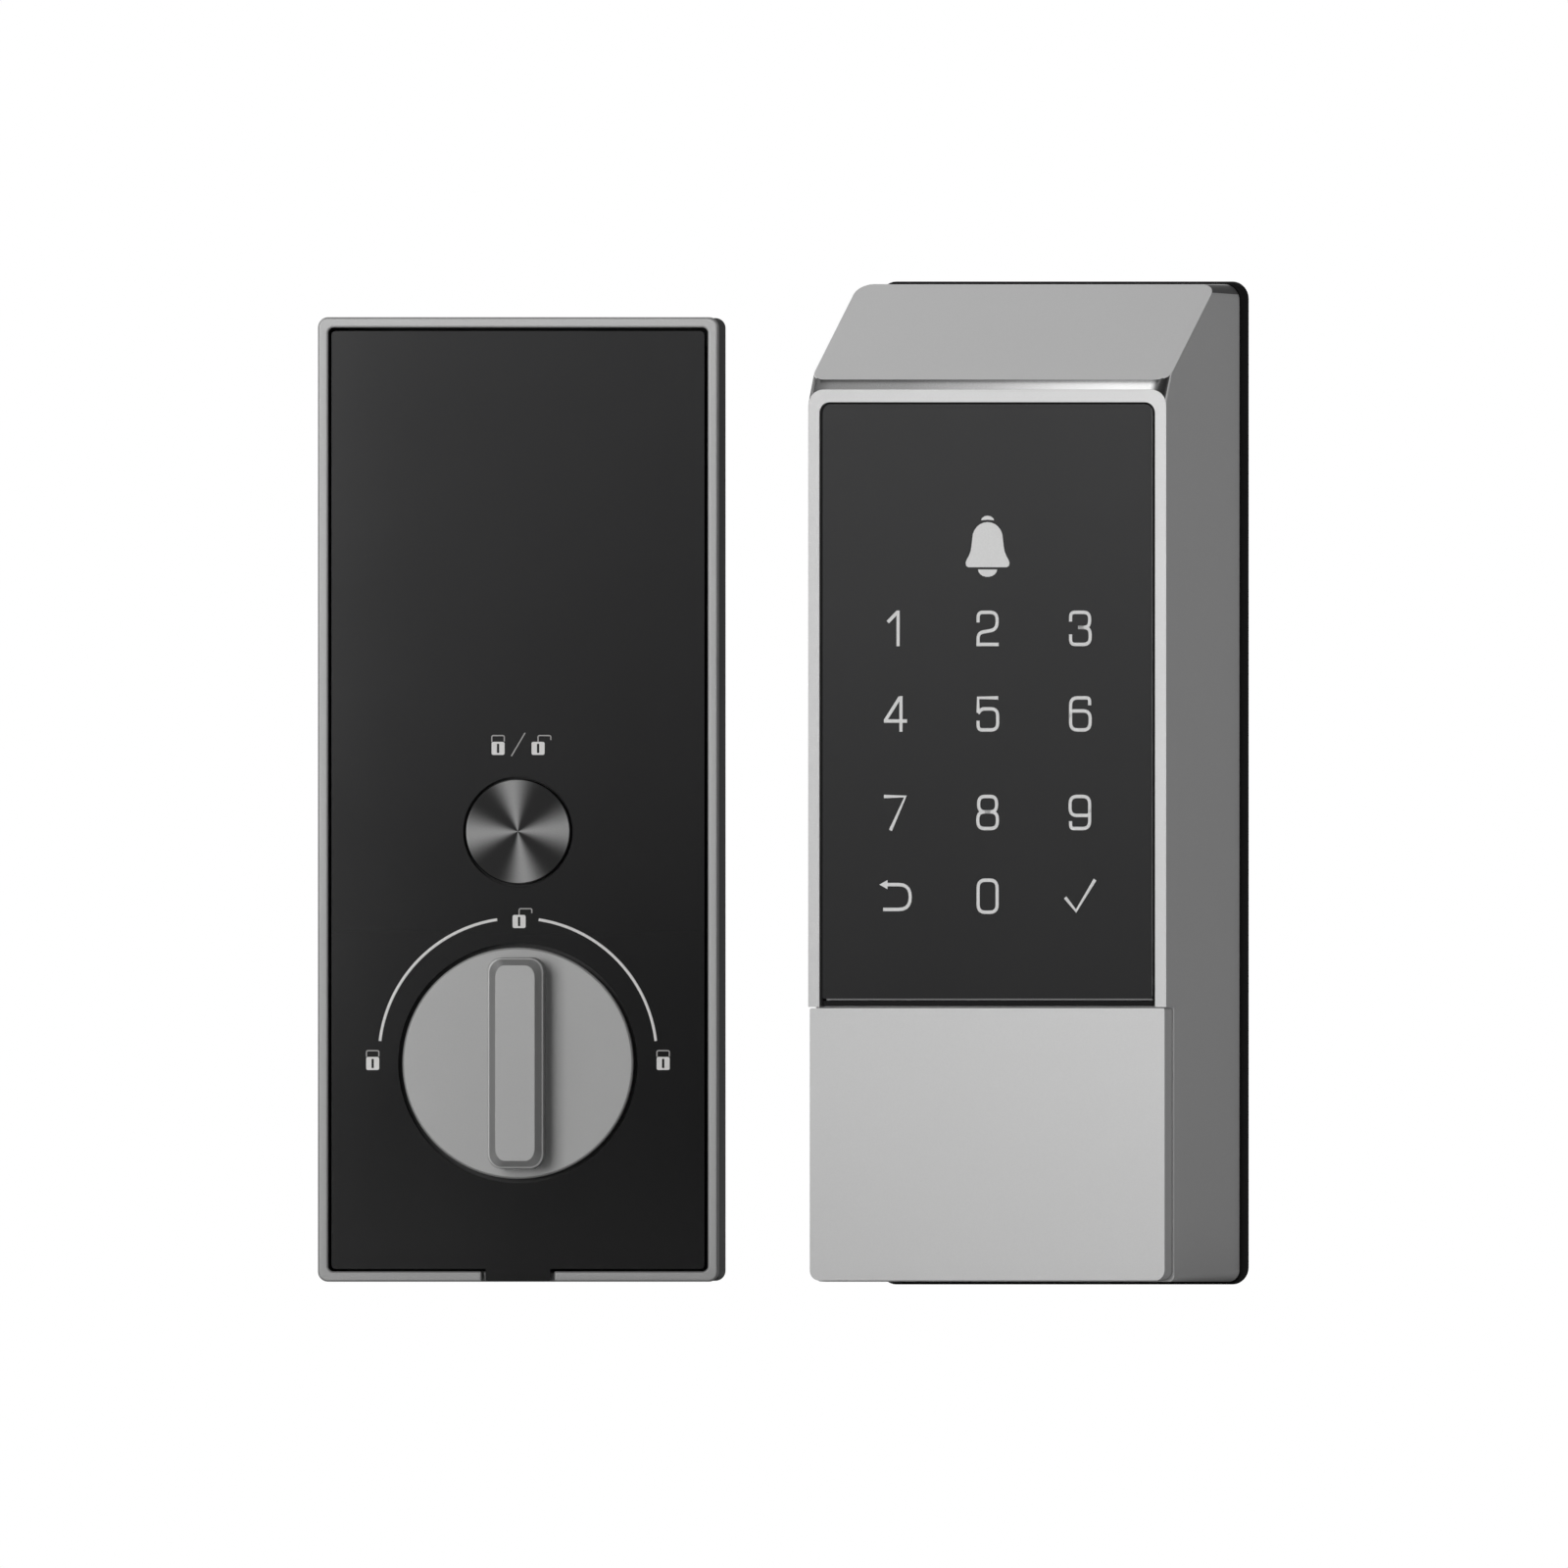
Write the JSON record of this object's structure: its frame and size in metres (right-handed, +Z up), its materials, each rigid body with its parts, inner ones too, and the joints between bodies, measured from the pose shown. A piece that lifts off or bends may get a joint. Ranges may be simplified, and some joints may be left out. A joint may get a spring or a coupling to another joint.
{
  "type": "keypad smart lock",
  "caption": "Door lock in two halves: a touch keypad unit with a sliding key cover for outside, and a battery unit with thumb turn and lock button for inside.",
  "frame": {"origin": "centre of the door's lock bore at the keypad unit's back, where its gasket meets the outer face of the door", "axes": "+X to the right seen from outside, +Y from the keypad into the door, +Z up; the battery unit stands beside the keypad unit, turned 20.5 degrees about +Z, with its own bore axis at X -0.09975"},
  "size_m": [0.1645, 0.0843, 0.1689],
  "materials": {
    "silver_paint": "fine satin silver grey paint on zinc casting",
    "black_glass": "gloss black with pale grey printed symbols",
    "satin_metal": "bead-blasted satin grey",
    "dark_metal": "circular spun gunmetal",
    "black_plastic": "fine moulded texture",
    "white_plastic": "natural moulded",
    "rubber": "matt foam rubber",
    "circuit_board": "green solder mask",
    "zinc_steel": "zinc plated",
    "brass": "machined",
    "battery_label": "printed sleeve, plain"
  },
  "bodies": {
    "exterior_unit": {"exterior_housing": "silver_paint", "touch_panel": "black_glass", "cover_bumper": "rubber", "touch_light_guide": "white_plastic", "touch_circuit_board": "circuit_board", "board_carrier": "black_plastic", "speaker": "black_plastic", "exterior_cable_socket": "white_plastic", "exterior_back_plate": "black_plastic", "threaded_post_left": "zinc_steel", "threaded_post_right": "zinc_steel", "weather_gasket": "rubber", "key_cylinder_body": "brass", "mounting_plate": "zinc_steel", "through_bolt_left": "zinc_steel", "through_bolt_right": "zinc_steel"},
    "key_cover": {"key_cover": "silver_paint", "cover_slide_left": "white_plastic", "cover_slide_right": "white_plastic"},
    "key_plug": {"key_plug": "brass", "plug_clip": "zinc_steel", "tailpiece": "zinc_steel"},
    "interior_unit": {"interior_frame": "silver_paint", "interior_housing": "black_plastic", "unit_screw_1": "zinc_steel", "unit_screw_2": "zinc_steel", "battery_tray": "black_plastic", "battery_1": "battery_label", "battery_2": "battery_label", "battery_3": "battery_label", "battery_4": "battery_label", "battery_contact_minus": "zinc_steel", "battery_contact_upper_left": "zinc_steel", "battery_contact_lower": "zinc_steel", "battery_contact_upper_right": "zinc_steel", "battery_contact_plus": "zinc_steel", "chassis_plate": "black_plastic", "chassis_screw_1": "zinc_steel", "chassis_screw_2": "zinc_steel", "chassis_screw_3": "zinc_steel", "chassis_screw_4": "zinc_steel", "knob_bush": "white_plastic", "idler_axle": "zinc_steel", "drive_motor": "zinc_steel", "gearbox_plate": "zinc_steel", "main_circuit_board": "circuit_board", "tact_switch": "black_plastic", "buzzer": "black_plastic", "interior_cable_socket": "white_plastic"},
    "front_panel": {"front_panel": "black_glass"},
    "thumb_turn": {"thumb_turn": "satin_metal", "output_gear": "white_plastic", "spindle_hub": "zinc_steel"},
    "idler": {"idler_gear": "white_plastic"},
    "pinion": {"motor_pinion": "brass"},
    "lock_button": {"lock_button": "dark_metal", "button_retainer": "white_plastic"}
  },
  "joints": [
    {"name": "key_cover_slide", "type": "slide", "parent": "exterior_unit", "child": "key_cover", "axis": [0, 0, -1], "range_m": [0, 0.028]},
    {"name": "key_plug_turn", "type": "hinge", "parent": "exterior_unit", "child": "key_plug", "pos_m": [0, 0, 0], "axis": [0, 1, 0], "range_deg": [-90, 90]},
    {"name": "battery_unit_lift_off", "type": "slide", "parent": "exterior_unit", "child": "interior_unit", "axis": [0.3502, -0.9367, 0], "range_m": [0, 0.03]},
    {"name": "front_panel_pull_off", "type": "slide", "parent": "interior_unit", "child": "front_panel", "axis": [0.3502, -0.9367, 0], "range_m": [0, 0.025]},
    {"name": "thumb_turn_spin", "type": "hinge", "parent": "interior_unit", "child": "thumb_turn", "pos_m": [-0.09975, 0, 0], "axis": [-0.3502, 0.9367, 0], "range_deg": [-90, 90]},
    {"name": "idler_spin", "type": "hinge", "parent": "interior_unit", "child": "idler", "pos_m": [-0.11567, -0.00595, 0.02136], "axis": [-0.3502, 0.9367, 0], "range_deg": [-145, 145]},
    {"name": "pinion_spin", "type": "hinge", "parent": "interior_unit", "child": "pinion", "pos_m": [-0.12083, -0.00788, 0.03499], "axis": [-0.3502, 0.9367, 0], "range_deg": [-365, 365]},
    {"name": "lock_button_press", "type": "slide", "parent": "interior_unit", "child": "lock_button", "axis": [-0.3502, 0.9367, 0], "range_m": [0, 0.0008], "stiffness_N_per_m": 1500}
  ],
  "couplings": [
    {"joint": "idler_spin", "follows": "thumb_turn_spin", "ratio": -1.6},
    {"joint": "pinion_spin", "follows": "thumb_turn_spin", "ratio": 4}
  ]
}
